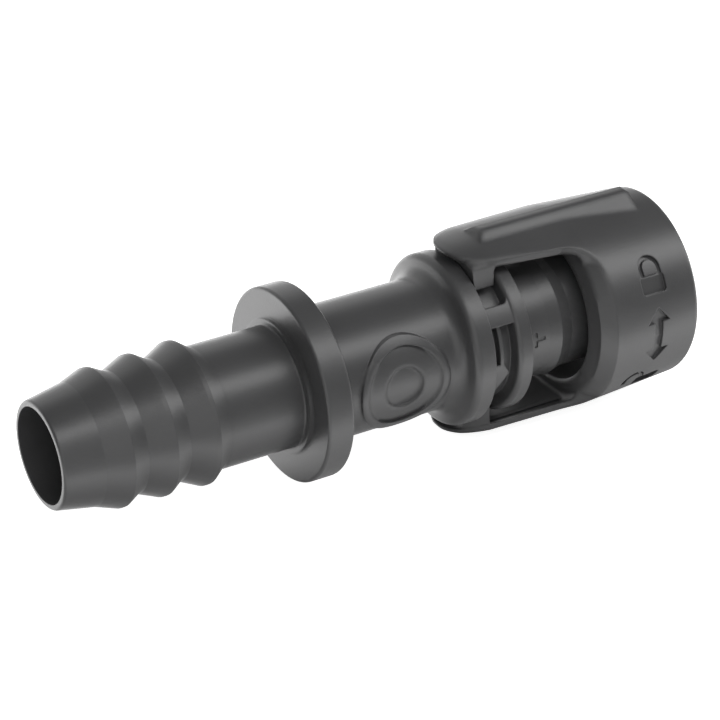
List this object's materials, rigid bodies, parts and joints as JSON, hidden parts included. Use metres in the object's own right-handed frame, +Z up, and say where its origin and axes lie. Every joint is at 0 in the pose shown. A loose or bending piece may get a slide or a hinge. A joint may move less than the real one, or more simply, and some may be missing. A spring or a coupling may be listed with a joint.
{
  "type": "drip irrigation coupling",
  "caption": "Straight plastic coupling with a barbed hose tail and flange at one end and a pipe nipple under a twist-locking bayonet sleeve at the other.",
  "frame": {"origin": "centre of the water passage at the tip of the hose tail", "axes": "+X along the water passage from the hose tail to the mouth of the locking sleeve, +Z up through the middle of the sleeve's upper arm, -Y towards the round pad"},
  "size_m": [0.0747, 0.0226, 0.0242],
  "materials": {
    "body_plastic": "satin",
    "sleeve_plastic": "satin"
  },
  "bodies": {
    "body": {"coupling_body": "body_plastic"},
    "sleeve": {"locking_sleeve": "sleeve_plastic"}
  },
  "joints": [
    {"name": "sleeve_turn", "type": "hinge", "parent": "body", "child": "sleeve", "pos_m": [0.06, 0, 0], "axis": [1, 0, 0], "range_deg": [-87.5, 13]}
  ]
}
